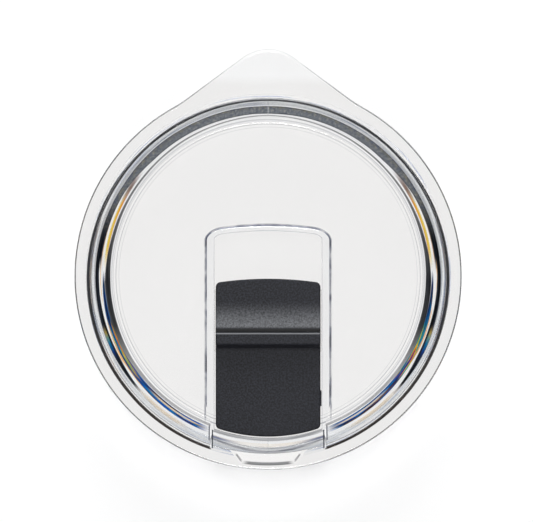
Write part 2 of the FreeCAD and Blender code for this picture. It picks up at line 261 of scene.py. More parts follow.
def clear_plastic(finishes, size):
    """Polished clear plastic, a little grey, with the mould's faint rings in its surface, and painted shade
    at the dip's edges, the floor's rim and the channel's foot.
    """
    recipe = new_recipe("clear_plastic")
    x, y, _, radius, turn = recipe.place()
    tab = y.smooth(44.0, 47.0)
    tint = recipe.mix(tab, tuple(finishes.clear_tint), (0.985, 0.985, 0.985))
    haze = recipe.noise(recipe.join(x, y), 0.06, 2.0)
    tint = recipe.mix(haze * 0.06, tint, (0.80, 0.79, 0.77))

    # Painted shade along the dip's edges: its outer side, then its two slanted ends.
    across = abs(x)
    spout_side = y.smooth(-37.0, -38.0)
    outer = radius.window(43.55, 43.95, 0.08) * spout_side * across.smooth(6.3, 4.5)
    tint = recipe.mix(outer * 0.95, tint, (0.04, 0.045, 0.05))
    slant = across + radius * (3.0 / 3.6)
    ends = slant.window(42.3, 42.7, 0.08) * radius.window(42.1, 43.5, 0.1)
    tint = recipe.mix(ends * spout_side * 0.9, tint, (0.12, 0.12, 0.13))

    # Painted faint grey rings of shade where the floor's rim bends up.
    for middle, half, depth in ((36.5, 0.16, 0.75), (35.5, 0.07, 0.75), (34.8, 0.05, 0.35)):
        line = radius.window(middle - half, middle + half, 0.07)
        tint = recipe.mix(line * depth, tint, (0.42, 0.42, 0.44))

    # Painted broken shade on the channel's foot, just outside its walls.
    corner = size.outer_corner
    crown = size.crown + size.end_wall
    bow = crown - (crown**2 - x * x).root()
    past_end = (y - (size.channel_reach + size.end_wall - corner)).or_more(0.0)
    past_end = past_end * corner / (corner - bow)
    past_side = (across - (size.channel_half + size.side_wall - corner)).or_more(0.0)
    away = (past_end * past_end + past_side * past_side).root()
    foot = away.window(corner - 0.1, corner + 0.24, 0.1) * y.smooth(-34.5, -33.0)
    broken = recipe.noise(recipe.join(x * 1.6, y), 0.17, 2.0, 0.6).smooth(0.58, 0.42)
    tint = recipe.mix(foot * (0.35 + broken * 0.4), tint, (0.12, 0.135, 0.19))
    rings = recipe.streaks(turn, radius, 0.02, 2.2, 0.0)
    look = {"Base Color": tint, "Roughness": 0.0, "IOR": finishes.clear_index, "Transmission Weight": 1.0}
    recipe.fill(recipe.shader, {**look, "Normal": recipe.bump(rings, 0.05)})
    tint_depth(recipe, finishes)
    let_light_through(recipe, recipe.shader.outputs[0], (0.88, 0.88, 0.885))
    return recipe.owner


def ring_plastic(finishes):
    """The same plastic in the well's steep wall, with the dark and coloured bands that its ring traps
    painted on as painted shade, painted coloured light and painted highlights.
    """
    recipe = new_recipe("ring_plastic")
    x, y, _, radius, turn = recipe.place()
    side = abs(turn)
    paint = Layers(recipe, (0.995, 0.995, 0.995), finishes.ring_clearness)

    # Long streaks that run round the ring, and short ones across it.
    drift = recipe.streaks(turn, radius, 0.045, 0.9, 0.0)
    drift = (drift - 0.5) * 0.22
    r = radius + (drift + 0.25)
    fine = recipe.streaks(turn, radius, 0.05, 2.6, 5.0).smooth(0.38, 0.62)
    cross = recipe.streaks(turn, radius, 0.6, 1.2, 9.0)
    hue = recipe.streaks(turn, radius, 0.045, 2.3, 3.0).smooth(0.25, 0.75)
    split_colours = (
        (0.18, (0.015, 0.015, 0.03)), (0.30, (0.01, 0.03, 0.20)), (0.42, (0.005, 0.09, 0.48)),
        (0.54, (0.01, 0.22, 0.45)), (0.62, (0.01, 0.05, 0.26)), (0.72, (0.02, 0.015, 0.02)),
        (0.84, (0.16, 0.07, 0.03)),
    )
    split = hue.ramp(split_colours)
    rainbow_colours = (
        (1.50, (0.01, 0.06, 0.34)), (1.62, (0.01, 0.34, 0.50)), (1.72, (0.04, 0.40, 0.08)),
        (1.81, (0.95, 0.55, 0.02)), (1.90, (0.70, 0.08, 0.02)), (2.02, (0.02, 0.04, 0.26)),
    )
    rainbow = (side * 0.012 + hue * 0.75).ramp(rainbow_colours, 1.4, 2.2)

    # Painted grey streaks of shade in the pale part of the wall.
    streaked = side.profile(((0, 0.16), (85, 0.14), (110, 0.06), (160, 0.08)))
    paint.lay((1.0 - fine) * streaked, (0.45, 0.46, 0.50), 0.75)

    # The painted grey band of shade under the lip, which turns black at the flanks and ends in a point,
    # with painted dark lines along its edges.
    low = side.profile(((0, 38.1), (45, 38.2), (60, 38.9), (90, 39.25), (118, 39.55), (132, 40.0)))
    high = side.profile(((0, 39.75), (60, 40.05), (90, 40.4), (115, 40.6), (132, 40.4)))
    band = r.window(low, high, 0.07) * side.smooth(134.0, 128.0)
    olive = recipe.mix(cross.smooth(0.30, 0.70), (0.33, 0.315, 0.25), (0.19, 0.22, 0.29))
    grey = recipe.mix(radius.smooth(38.7, 39.3), (0.27, 0.29, 0.32), olive)
    speck = recipe.noise(recipe.join(x, y), 1.7, 2.0, 0.7)
    grey = recipe.mix(speck.smooth(0.52, 0.36) * 0.65, grey, (0.13, 0.15, 0.19))
    grey = recipe.mix(speck.smooth(0.54, 0.68) * 0.75, grey, (0.50, 0.49, 0.43))
    black = recipe.mix(fine.smooth(0.2, 0.8), (0.008, 0.009, 0.011), (0.025, 0.030, 0.045))
    dark_part = side.smooth(58.0, 80.0)
    clearness = 0.24 - dark_part * 0.22
    paint.lay(band, recipe.mix(dark_part, grey, black), clearness)
    for edge, inside in ((low, 0.10), (high, -0.10)):
        place = edge + inside
        line = r.window(place - 0.08, place + 0.08, 0.04)
        paint.lay(line * band * 0.6, (0.04, 0.045, 0.055), 0.05)
    # A painted coloured glint of light on the band, past the flanks.
    glint = band * side.window(109.0, 117.5, 3.0) * r.window(39.95, 40.45, 0.15)
    glint_colours = (
        (107, (0.60, 0.45, 0.25)), (109, (0.85, 0.62, 0.12)), (111, (0.20, 0.42, 0.36)),
        (113, (0.01, 0.22, 0.45)), (116, (0.01, 0.06, 0.30)), (119, (0.01, 0.02, 0.06)),
    )
    paint.lay(glint * 0.85, side.ramp(glint_colours, 106.0, 120.0), 0.25)
    # A painted patch of beige light further round, towards the spout.
    beige_light = side.window(133.0, 150.0, 4.0) * r.window(39.7, 40.4, 0.12)
    paint.lay(beige_light * 0.7, (0.92, 0.74, 0.52), 0.85)

    # Painted warm light under the black band, with a thin painted orange line along the band's lower edge,
    # a painted white highlight in it, and painted shade where it starts.
    warm_colours = (
        (37.90, (0.60, 0.16, 0.02)), (38.08, (0.98, 0.30, 0.01)), (38.36, (1.00, 0.58, 0.05)),
        (38.56, (1.00, 0.92, 0.66)), (38.95, (1.00, 0.95, 0.88)), (39.15, (0.85, 0.36, 0.05)),
        (39.35, (0.20, 0.06, 0.02)),
    )
    warm = r.ramp(warm_colours, 37.5, 39.6)
    yellow = side.smooth(62.0, 73.0) * r.window(38.05, 38.5, 0.10)
    warm = recipe.mix(yellow * 0.9, warm, (1.0, 0.74, 0.13))
    warm_part = side.window(60.0, 84.0, 5.0) * r.window(37.98, low, 0.06)
    paint.lay(warm_part, warm, 0.70)
    white_highlight = warm_part * r.window(38.62, 38.98, 0.06)
    paint.lay(white_highlight, (1.0, 0.99, 0.96), 0.98)
    start = side.window(53.0, 61.0, 4.0) * r.window(38.0, 38.7, 0.15)
    paint.lay(start * 0.8, (0.20, 0.08, 0.04), 0.3)

    # Painted split colours of light low on the wall, past the flanks, under painted white and orange
    # highlight arcs, with painted shade streaks, painted rainbow light and a painted gleam.
    arc = side.window(86.0, 131.0, 3.0) * r.window(39.15, 39.55, 0.06)
    paint.lay(arc, recipe.mix(hue.smooth(0.62, 0.78), (1.0, 0.99, 0.97), (0.95, 0.50, 0.12)), 0.95)
    upper = side.profile(((88, 38.70), (105, 39.05), (135, 39.15), (158, 39.20)))
    lower = side.profile(((88, 38.40), (105, 38.25), (125, 37.98)))
    amount = r.window(lower, upper, 0.07) * side.window(90.5, 157.0, 3.0)
    paint.lay(amount, split, 0.08)
    shadow = recipe.streaks(turn, radius, 0.03, 5.0, 11.0).smooth(0.46, 0.60)
    paint.lay(shadow * amount * 0.85, (0.015, 0.018, 0.03), 0.04)
    bright = amount * side.window(108.0, 127.0, 4.0)
    paint.lay(bright * fine.smooth(0.0, 0.5), rainbow, 0.25)
    gleam = side.window(136.0, 155.0, 4.0) * r.window(38.3, 38.6, 0.08)
    paint.lay(gleam * 0.8, (0.95, 0.80, 0.60), 0.7)

    # The painted dark line of shade at the foot of the wall, broad at the flanks.
    middles = (
        (0, 37.7), (20, 37.47), (50, 37.33), (75, 37.45), (92, 37.66), (108, 37.70), (122, 37.62),
        (155, 37.45),
    )
    halves = (
        (0, 0.10), (30, 0.15), (60, 0.22), (78, 0.38), (92, 0.62), (108, 0.58), (122, 0.34), (158, 0.26),
    )
    middle, half = side.profile(middles), side.profile(halves)
    foot = r.window(middle - half, middle + half, 0.07)
    depths = ((0, 0.55), (60, 0.72), (78, 0.88), (92, 1.0), (108, 0.95), (125, 0.62), (158, 0.55))
    shade = recipe.mix(fine, (0.012, 0.013, 0.016), (0.05, 0.053, 0.062))
    paint.lay(foot * side.profile(depths), shade, 0.02)

    # The mould's parting line, across the ring at the tab and at the spout.
    seam = x.window(-0.12, 0.12, 0.05) * radius.smooth(37.4, 37.8)
    paint.lay(seam * 0.6, (0.75, 0.76, 0.78), 0.8)

    # On the spout's ramp and upright face, painted dark arcs of shade, a painted beige arc of light and a
    # painted white highlight, painted dark blue shade at its ends, and painted shade and highlight lines at
    # the breaks at its two sides.
    across = abs(x)
    front = side.smooth(160.2, 160.6)
    bend = across.smooth(0.0, 16.0) * r.smooth(39.6, 40.2)
    bent = r + bend * 1.1
    for middle, half, shade, clearness, strength in (
        (38.26, 0.38, (0.06, 0.065, 0.08), 0.05, 0.72),
        (39.65, 0.40, (0.93, 0.84, 0.72), 0.85, 0.70),
        (40.28, 0.14, (0.04, 0.04, 0.045), 0.05, 0.75),
        (41.10, 0.28, (0.02, 0.03, 0.06), 0.05, 0.90),
    ):
        arc = front * bent.window(middle - half, middle + half, 0.14)
        broken = strength - fine * (strength * 0.45)
        paint.lay(arc * broken, shade, clearness)
    paint.lay(front * r.window(38.84, 39.18, 0.05), (1.0, 1.0, 1.0), 1.0)
    ends = r.window(39.4, 39.95, 0.12) * across.smooth(5.0, 12.0)
    paint.lay(ends * front * 0.85, (0.03, 0.06, 0.16), 0.05)
    sector = side.smooth(150.0, 152.0)
    breaks = ((12.95, (0.05, 0.055, 0.07)), (13.35, (1.0, 1.0, 1.0)), (13.7, (0.10, 0.11, 0.14)))
    for place, shade in breaks:
        break_line = across.window(place - 0.14, place + 0.14, 0.05) * sector
        paint.lay(break_line * radius.smooth(37.2, 37.6), shade, 0.4)

    paint.finish(finishes.clear_index, 0.05, 0.0)
    tint_depth(recipe, finishes)
    return recipe.owner


def foot_plastic(finishes):
    """The same plastic round the plug's foot. Light goes straight on through it."""
    recipe = new_recipe("foot_plastic")
    *_, radius, turn = recipe.place()
    paint = Layers(recipe, (0.995, 0.995, 0.99), finishes.ring_clearness)
    fine = recipe.streaks(turn, radius, 0.05, 2.0, 7.0).smooth(0.38, 0.62)
    paint.lay(fine * 0.12, (0.60, 0.61, 0.64), 0.8)
    paint.finish(finishes.clear_index, 0.05, 0.5)
    return recipe.owner


def edge_plastic(finishes):
    """The same plastic round the channel's rounded edges, with painted grey reflections of the room in
    broken dashes, bluish grey at the closed end, and a painted pale line inside.
    """
    recipe = new_recipe("edge_plastic")
    x, y, *_ = recipe.place()
    along = recipe.noise(recipe.join(x * 1.6, y), 0.17, 2.0, 0.6)
    dashes = ((0.40, (0.035, 0.04, 0.07)), (0.46, (0.17, 0.185, 0.24)), (0.56, (0.44, 0.45, 0.49)))
    paint = Layers(recipe, along.ramp(dashes), 0.25)
    closed_end = recipe.mix(along.smooth(0.42, 0.58), (0.12, 0.135, 0.19), (0.34, 0.36, 0.43))
    paint.lay(y.smooth(7.5, 9.5), closed_end, 0.2)
    inside = abs(x).smooth(13.4, 12.9) * y.smooth(10.9, 10.4)
    paint.lay(inside * 0.85, (0.74, 0.74, 0.76), 0.75)
    paint.finish(finishes.clear_index, 0.05, 0.2)
    return recipe.owner


def clear_silicone():
    """Clear silicone with a soft skin, a painted dark line of shade along the thin lips, and painted blue
    and brown light just inside that line.
    """
    recipe = new_recipe("clear_silicone")
    x, y, z, radius, turn = recipe.place()
    side = abs(turn)
    paint = Layers(recipe, (0.99, 0.99, 0.99), 0.98)
    streak = recipe.streaks(turn, radius, 0.05, 2.4, 0.0)
    paint.lay(streak.smooth(0.50, 0.34), (0.86, 0.88, 0.93), 0.93)
    middle = side.profile(((0, 40.95), (30, 41.0), (60, 41.4), (90, 41.85), (120, 42.1), (160, 42.25)))
    half = side.profile(((0, 0.22), (40, 0.28), (60, 0.40), (120, 0.36), (160, 0.34)))
    inner = middle - (half + 0.35)
    blue = side.window(74.0, 108.0, 5.0) * radius.window(inner, middle, 0.1)
    tone = recipe.mix(streak.smooth(0.46, 0.56), (0.06, 0.16, 0.36), (0.32, 0.22, 0.15))
    paint.lay(blue * 0.75, tone, 0.35)
    # A painted dark line of shade along the lips, left out in front of the channel.
    away = abs(radius - middle) / half
    beside = abs(x).smooth(13.2, 13.7).or_more(y.smooth(0.0, 1.0))
    dark_line_shade = away.smooth(1.25, 0.75) * beside
    dark = recipe.mix(side.smooth(95.0, 130.0), (0.006, 0.007, 0.011), (0.024, 0.017, 0.014))
    paint.lay(dark_line_shade, dark, 0.0)
    paint.finish(1.41, 0.3, 0.3)
    grain = recipe.noise(recipe.join(x, y, z), 4.0, 2.0)
    recipe.fill(recipe.shader, {"Normal": recipe.bump(grain, 0.1)})
    return recipe.owner


def charcoal_plastic(finishes):
    """Matt charcoal moulding with a fine spark-eroded grain, and painted highlights and shade on its thumb
    ridge.
    """
    recipe = new_recipe("charcoal_plastic")
    x, y, z, *_ = recipe.place()
    spot = recipe.join(x, y, z)
    coarse = recipe.noise(spot, 2.4, 3.0, 0.6)
    cells = recipe.node("ShaderNodeTexVoronoi", {"Vector": spot, "Scale": 3.2})
    speckle = Number(recipe, cells.outputs["Distance"])
    patch = recipe.noise(spot, 0.09, 2.0)
    base = tuple(finishes.slider_colour)
    light = tuple(c * 2.0 + 0.004 for c in base)
    dark = tuple(c * 0.25 for c in base)
    colour = recipe.mix(coarse.smooth(0.35, 0.68), dark, light)
    colour = recipe.mix(patch * 0.35, colour, light)

    # The thumb ridge: a painted highlight on its rear side, painted shade in a dark crease at its foot, and
    # a painted highlight on its crest.
    upper = z.smooth(SCOOP_HEIGHT, SCOOP_HEIGHT + 0.4)
    scoop_highlight = y.smooth(-5.5, -11.6) * y.smooth(-12.3, -11.6) * coarse.smooth(0.0, 1.0)
    highlight_tone = (0.205, 0.212, 0.225)
    colour = recipe.mix(scoop_highlight * 0.9, colour, highlight_tone)
    crease = y.window(-13.1, -12.2, 0.2) * upper
    colour = recipe.mix(crease * 0.95, colour, tuple(c * 0.1 for c in base))
    crest = y.window(-13.5, -13.2, 0.08) * upper
    colour = recipe.mix(crest * 0.8, colour, highlight_tone)
    normal = recipe.bump(coarse + speckle * 0.5, 0.55)
    look = {"Base Color": colour, "Roughness": 0.5 + coarse * 0.2, "IOR": 1.5, "Specular IOR Level": 0.27}
    recipe.fill(recipe.shader, {**look, "Normal": normal})
    return recipe.owner


def grey_silicone():
    """Dull grey silicone with a powdery skin."""
    recipe = new_recipe("grey_silicone")
    x, y, z, *_ = recipe.place()
    powder = recipe.noise(recipe.join(x, y, z), 1.2, 4.0, 0.6)
    colour = recipe.mix(powder, (0.14, 0.145, 0.15), (0.21, 0.215, 0.22))
    look = {"Base Color": colour, "Roughness": 0.6 + powder * 0.2, "Normal": recipe.bump(powder, 0.2)}
    recipe.fill(recipe.shader, look)
    return recipe.owner


def floor_white():
    """Pale paper that stays white to the eye and in clear plastic, and keeps the lid's soft shadow."""
    recipe = new_recipe("floor_white")
    look = {"Base Color": (0.96, 0.96, 0.96, 1.0), "Roughness": 0.9, "Specular IOR Level": 0.1}
    recipe.fill(recipe.shader, look)
    path = recipe.node("ShaderNodeLightPath").outputs
    kinds = ("Transmission", "Glossy", "Camera")
    bent, glossy, seen = (Number(recipe, path[f"Is {kind} Ray"]) for kind in kinds)
    factor = (bent.or_more(glossy) * 0.95).or_more(seen * 0.5)
    glow = recipe.node("ShaderNodeEmission").outputs[0]
    recipe.show(recipe.blend(factor, recipe.shader.outputs[0], glow))
    return recipe.owner


# Mesh helpers. Shapes are modelled in millimetres and brought to metres when they are finished.


def in_millimetres(group):
    """The lengths of a group of sizes, by name."""
    return types.SimpleNamespace(**{name: getattr(group, name) / MM for name in group.__annotations__})


def new_piece(name, shape, materials, scale=MM):
    """A finished piece at the origin, with its place in its mesh."""
    bmesh.ops.scale(shape, vec=(scale, scale, scale), verts=shape.verts)
    mesh = bpy.data.meshes.new(name)
    shape.to_mesh(mesh)
    shape.free()
    for material in materials:
        mesh.materials.append(material)
    mesh.shade_smooth()
    piece = bpy.data.objects.new(name, mesh)
    bpy.context.scene.collection.objects.link(piece)
    return piece


def in_order(shape):
    """Sorts points, edges and faces by place, so that every run makes the same mesh."""

    def place(spots):
        x, y, z = (round(1000 * sum(v.co[i] for v in spots) / len(spots)) for i in range(3))
        return (y * 2**17 + x) * 2**17 + z

    shape.verts.sort(key=lambda v: place([v]))
    shape.edges.sort(key=lambda e: place(e.verts))
    shape.faces.sort(key=lambda f: place(f.verts))
    return shape


def closed(shape):
    """Merges doubled points, then turns every face outwards."""
    bmesh.ops.remove_doubles(shape, verts=shape.verts, dist=MERGE)
    bmesh.ops.recalc_face_normals(shape, faces=shape.faces)
    return in_order(shape)


def rounded(shape, parts, width, segments, affect="EDGES"):
    form = {"offset_type": "OFFSET", "profile": 0.5, "material": -1}
    bmesh.ops.bevel(shape, geom=parts, offset=width, segments=segments, affect=affect, **form)


def section(corners, place):
    """A flat face from its corners, given as (across, along) or (across, along, round, segments)."""
    shape = bmesh.new()
    points = [shape.verts.new(place(*corner[:2])) for corner in corners]
    shape.faces.new(points)
    for point, corner in zip(points, corners):
        if len(corner) > 2:
            rounded(shape, [point], corner[2], corner[3], "VERTICES")
    return shape


def on_plan(x, y):
    return (x, y, 0.0)


def beside_axis(radius, height):
    return (radius, 0.0, height)


def along_edges(angle, radius):
    """How far an arc of this radius reaches along the edges of a corner of this many degrees."""
    return radius / math.tan(math.radians(angle) / 2)


def turned(corners):
    """A solid turned round the lid's axis from its section."""
    shape = section(corners, beside_axis)
    bmesh.ops.delete(shape, geom=shape.faces[:], context="FACES_ONLY")
    on_axis = [e for e in shape.edges if all(abs(v.co.x) < LEVEL for v in e.verts)]
    bmesh.ops.delete(shape, geom=on_axis, context="EDGES")
    bmesh.ops.spin(
        shape,
        geom=shape.verts[:] + shape.edges[:],
        cent=(0, 0, 0),
        axis=(0, 0, 1),
        angle=2 * math.pi,
        steps=TURN_STEPS,
        use_merge=True,
    )
    return closed(shape)


def pulled(shape, way):
    """Extrudes a flat face along a way."""
    made = bmesh.ops.extrude_face_region(shape, geom=shape.faces[:])
    moved = [g for g in made["geom"] if isinstance(g, bmesh.types.BMVert)]
    bmesh.ops.translate(shape, verts=moved, vec=way)
    return closed(shape)


def raised(shape, bottom, top):
    """Extrudes a flat face upwards between two heights."""
    bmesh.ops.translate(shape, verts=shape.verts, vec=(0, 0, bottom))
    return pulled(shape, (0, 0, top - bottom))


def bowed_plan(half, reach, corner, crown, front):
    """A plan with straight sides back to a bowed end with rounded corners."""
    shape = section(
        ((-half, front), (half, front), (half, reach, corner, 8), (-half, reach, corner, 8)), on_plan
    )
    end = [e for e in shape.edges if all(abs(v.co.y - reach) < LEVEL for v in e.verts)]
    bmesh.ops.subdivide_edges(shape, edges=end, cuts=24)
    for point in shape.verts:
        share = min(max((point.co.y - reach + corner) / corner, 0.0), 1.0)
        point.co.y -= share * (crown - math.sqrt(crown**2 - point.co.x**2))
    return shape


def sharp_edges(shape, degrees):
    limit = math.radians(degrees)
    return [e for e in shape.edges if e.is_manifold and e.calc_face_angle() > limit]


def combined(base, tool, operation):
    """The solid that two solids leave when they are joined, cut or kept only where they overlap."""
    holders = []
    for shape in (base, tool):
        mesh = bpy.data.meshes.new("blank")
        in_order(shape).to_mesh(mesh)
        shape.free()
        holders.append(bpy.data.objects.new("blank", mesh))
        bpy.context.scene.collection.objects.link(holders[-1])
    modifier = holders[0].modifiers.new("Combine", "BOOLEAN")
    modifier.operation = operation
    modifier.object = holders[1]
    modifier.solver = "EXACT"
    view = bpy.context.evaluated_depsgraph_get()
    mesh = bpy.data.meshes.new_from_object(holders[0].evaluated_get(view))
    result = bmesh.new()
    result.from_mesh(mesh)
    bpy.data.meshes.remove(mesh)
    for holder in holders:
        bpy.data.meshes.remove(holder.data)
    return in_order(result)


def even_shading(piece):
    """Keeps flat faces flat beside their rounded edges."""
    modifier = piece.modifiers.new("Even shading", "WEIGHTED_NORMAL")
    modifier.weight = 100
    modifier.keep_sharp = True


def dress(node, material):
    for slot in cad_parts[node].material_slots:
        slot.material = material


# Sizes and colours


def length(name, description, millimetres):
    default = millimetres * MM
    return bpy.props.FloatProperty(
        name=name, description=description, default=default, min=0.0, unit="LENGTH", precision=5
    )


def colour(name, description, default):
    return bpy.props.FloatVectorProperty(
        name=name, description=description, default=default, size=3, min=0.0, max=1.0, subtype="COLOR"
    )


def number(name, description, default, least=0.0, most=1000.0):
    return bpy.props.FloatProperty(name=name, description=description, default=default, min=least, max=most)


class LidFinishes(bpy.types.PropertyGroup):
    """Colours and clearness that a maker would change."""

    clear_tint: colour("Clear tint", "What the clear plastic does to light", (0.915, 0.907, 0.900))
    clear_index: number("Refractive index", "Of the clear plastic", 1.54, 1.0, 2.0)
    depth_tint: colour("Depth tint", "Colour of the clear plastic where it is thick", (0.45, 0.55, 0.68))
    depth_density: number("Depth density", "How soon thick plastic takes that colour, per metre", 12.0)
    ring_clearness: number("Ring clearness", "How much light the well's wall lets through", 0.985, 0.0, 1.0)
    slider_colour: colour("Slider colour", "Charcoal of the slider", (0.0098, 0.0106, 0.0148))


class MouldingSizes(bpy.types.PropertyGroup):
    """Sizes of the clear moulding, as in the part's own source"""

    plug: length("Plug", "Radius of the plug's lands", 41.3)
    foot_round: length("Foot round", "Round that leads the plug into a mouth", 1.6)
    flange: length("Flange", "Radius of the flange", 45.0)
    flange_thickness: length("Flange thickness", "Of the flange and its tab", 2.0)
    rim_round: length("Rim round", "Round on the flange's edge", 0.6)
    tab_tip: length("Tab tip", "Radius of the tab's tip", 10.0)
    tab_sink: length("Tab sink", "How far inside the flange's edge the tab's flanks aim", 0.55)
    tab_blend: length("Tab blend", "Radius of the blend from a flank into the flange", 30.0)
    floor: length("Floor", "Thickness of the floor", 2.2)
    well: length("Well", "Radius of the well at the flange", 40.1)
    well_foot: length("Well foot", "Radius of the well at the floor", 36.79)
    well_fillet: length("Well fillet", "Radius between floor and wall", 1.5)
    lip_round: length("Well lip", "Round where the wall meets the flange", 0.5)
    groove: length("Groove", "Radius of the gasket groove's bottom", 39.7)
    groove_low: length("Groove foot", "Height of the groove's lower side", 5.0)
    groove_high: length("Groove head", "Height of the groove's upper side", 9.4)
    edge_round: length("Edge round", "Round on edges that are otherwise sharp", 0.16)
    channel_half: length("Channel half", "Half the channel's width inside", 12.5)
    channel_reach: length("Channel reach", "From the axis to the inside of the closed end", 10.5)
    channel_height: length("Channel height", "Above the floor", 4.8)
    side_wall: length("Side wall", "Thickness of the channel's sides", 2.1)
    end_wall: length("End wall", "Thickness of the channel's closed end", 1.5)
    crown: length("Crown", "Radius of the channel's bowed end, inside", 81.0)
    inner_corner: length("Inner corner", "Corner radius inside the channel", 1.9)
    outer_corner: length("Outer corner", "Corner radius outside the channel", 3.6)
    channel_round: length("Channel round", "Round on the channel's top edge", 0.55)
    neck: length("Neck", "Thickness of the channel's sides beside the spout", 0.9)
    neck_length: length("Neck length", "Over which the sides thin", 5.0)
    slider_front: length("Slider front", "Radius of the slider's front", 37.4)
    spout: length("Spout", "Radius of the spout's upright face", 37.7)
    sill: length("Sill", "Height of that face above the floor", 6.2)
    ramp: length("Ramp", "Radius where the spout's ramp meets the flange", 42.0)
    flare: length("Flare", "How far each side of the spout opens", 1.1)
    dip_depth: length("Dip depth", "Of the dip beyond the ramp", 0.9)
    dip_reach: length("Dip reach", "How far the dip goes past the ramp", 1.8)
    dip_width: length("Dip width", "Along the dip's outer side", 12.0)
    dip_flare: length("Dip flare", "How far each side of the dip opens", 3.0)
    rail_foot: length("Rail foot", "Height of a rail above the floor", 1.6)
    rail_height: length("Rail height", "Of a rail", 1.0)
    rail_depth: length("Rail depth", "How far a rail stands into the channel", 0.9)
    rail_front: length("Rail front", "From the axis to the rails' front end", 23.05)
    rail_rear: length("Rail rear", "From the axis to the rails' rear end", 3.02)
    hole_width: length("Hole width", "Of the drink hole", 16.0)
    hole_front: length("Hole front", "Radius of the drink hole's front", 35.2)
    hole_rear: length("Hole rear", "From the axis to the drink hole's rear", 29.2)
    hole_corner: length("Hole corner", "Corner radius of the drink hole", 2.0)


class GasketSizes(bpy.types.PropertyGroup):
    """Sizes of the gasket's section"""

    bore: length("Bore", "Radius of the gasket's inside, in the groove", 39.8)
    face: length("Face", "Radius of the gasket's band between the lips", 41.2)
    tip: length("Lip tip", "Thickness of a lip at its free edge", 0.7)
    root: length("Lip root", "Thickness of a lip at the band", 0.96)
    edge_round: length("Edge round", "Round on the gasket's edges", 0.2)


class StudioSettings(bpy.types.PropertyGroup):
    """The camera and the light."""

    camera_distance: length("Camera distance", "From the lid's top face", 3000.0)
    view_width: length("View width", "What the camera takes in across the lid's top face", 123.8)
    view_centre: bpy.props.FloatVectorProperty(
        name="View centre",
        description="Where the camera looks, across the lid's top face",
        default=(-0.37 * MM, 3.53 * MM),
        size=2,
        unit="LENGTH",
    )
    key_power: number("Key lamp", "Watts, from above and a little behind the tab", 3.8)
    back_power: number("Back lamp", "Watts, from low behind the tab", 6.0)
    front_power: number("Front lamp", "Watts, from the spout's side", 2.0)


# Pieces


def flange_edge(size, turn):
    """Radius of the flange's outline at an angle from the tab: tip, straight flanks, blends, circle."""
    tip_centre = LID_BOX[1][1] / MM - size.tab_tip
    flank = size.flange - size.tab_sink
    slope = math.acos((flank - size.tab_tip) / tip_centre)
    across = Vector((math.sin(slope), math.cos(slope)))
    along = Vector((-math.cos(slope), math.sin(slope)))
    hub = flank + size.tab_blend
    blend = across * hub + along * math.sqrt((size.flange + size.tab_blend) ** 2 - hub**2)
    tip_end = Vector((0, tip_centre)) + across * size.tab_tip
    flank_end = blend - across * size.tab_blend
    way = Vector((abs(math.sin(turn)), math.cos(turn)))

    def beyond(point):
        return way.y * point.x < way.x * point.y

    if not beyond(tip_end):
        return tip_centre * way.y + math.sqrt(size.tab_tip**2 - (tip_centre * way.x) ** 2)
    if not beyond(flank_end):
        return flank / way.dot(across)
    if not beyond(blend):
        near = way.dot(blend)
        return near - math.sqrt(near**2 - blend.length_squared + size.tab_blend**2)
    return size.flange


def turned_body(size):
    """Floor, plug, groove, flange and well in one turned shape, with the tab pulled out of its rim."""
    top = LID_TOP / MM
    lean = math.degrees(math.atan2(size.well - size.well_foot, top - size.floor))
    edge = (size.edge_round, 4)
    shape = turned(
        (
            (0, 0), (size.plug, 0, size.foot_round, 8), (size.plug, size.groove_low, *edge),
            (size.groove, size.groove_low, *edge), (size.groove, size.groove_high, *edge),
            (size.plug, size.groove_high, *edge), (size.plug, top - size.flange_thickness, *edge),
            (size.flange, top - size.flange_thickness, size.rim_round, 6),
            (size.flange, top, size.rim_round, 6),
            (size.well, top, along_edges(90 + lean, size.lip_round), 6),
            (size.well_foot, size.floor, along_edges(90 + lean, size.well_fillet), 10),
            (0, size.floor),
        )
    )
    for point in shape.verts:
        radius = point.co.xy.length
        if radius > size.flange - size.rim_round - 0.01:
            out = flange_edge(size, math.atan2(point.co.x, point.co.y)) - size.flange
            point.co.xy *= (radius + out) / radius
    return shape


def channel_walls(size):
    """The raised channel's walls, thinned beside the spout."""
    top = size.floor + size.channel_height
    half = size.channel_half + size.side_wall
    reach, crown = size.channel_reach + size.end_wall, size.crown + size.end_wall
    plan = bowed_plan(half, reach, size.outer_corner, crown, -size.slider_front)
    walls = raised(plan, size.floor - OVERLAP, top)
    rim = [
        e
        for e in walls.edges
        if all(abs(v.co.z - top) < LEVEL for v in e.verts)
        and max(v.co.y for v in e.verts) > -size.slider_front + OVERLAP
    ]
    rounded(walls, rim, size.channel_round, 4)
    thin = size.channel_half + size.neck
    neck_end = -math.sqrt(size.well_foot**2 - thin**2)
    neck_start = neck_end + size.neck_length
    for side in (1, -1):
        trim = section(
            (
                (side * half, neck_start), (side * thin, neck_end), (side * thin, -size.flange),
                (side * (half + OVERLAP), -size.flange), (side * (half + OVERLAP), neck_start),
            ),
            on_plan,
        )
        walls = combined(walls, raised(trim, 0.0, top + OVERLAP), "DIFFERENCE")
    front = -size.slider_front - OVERLAP
    space = bowed_plan(size.channel_half, size.channel_reach, size.inner_corner, size.crown, front)
    walls = combined(walls, raised(space, 0.0, top + OVERLAP), "DIFFERENCE")
    inner = [
        e
        for e in sharp_edges(walls, RIGHT_ANGLED)
        if all(abs(v.co.z - top) < LEVEL for v in e.verts)
        and any(f.normal.xy.dot(f.calc_center_median().xy) < -0.1 for f in e.link_faces)
        and max(v.co.y for v in e.verts) > -size.slider_front + OVERLAP
    ]
    rounded(walls, inner, size.edge_round, 3)
    return walls


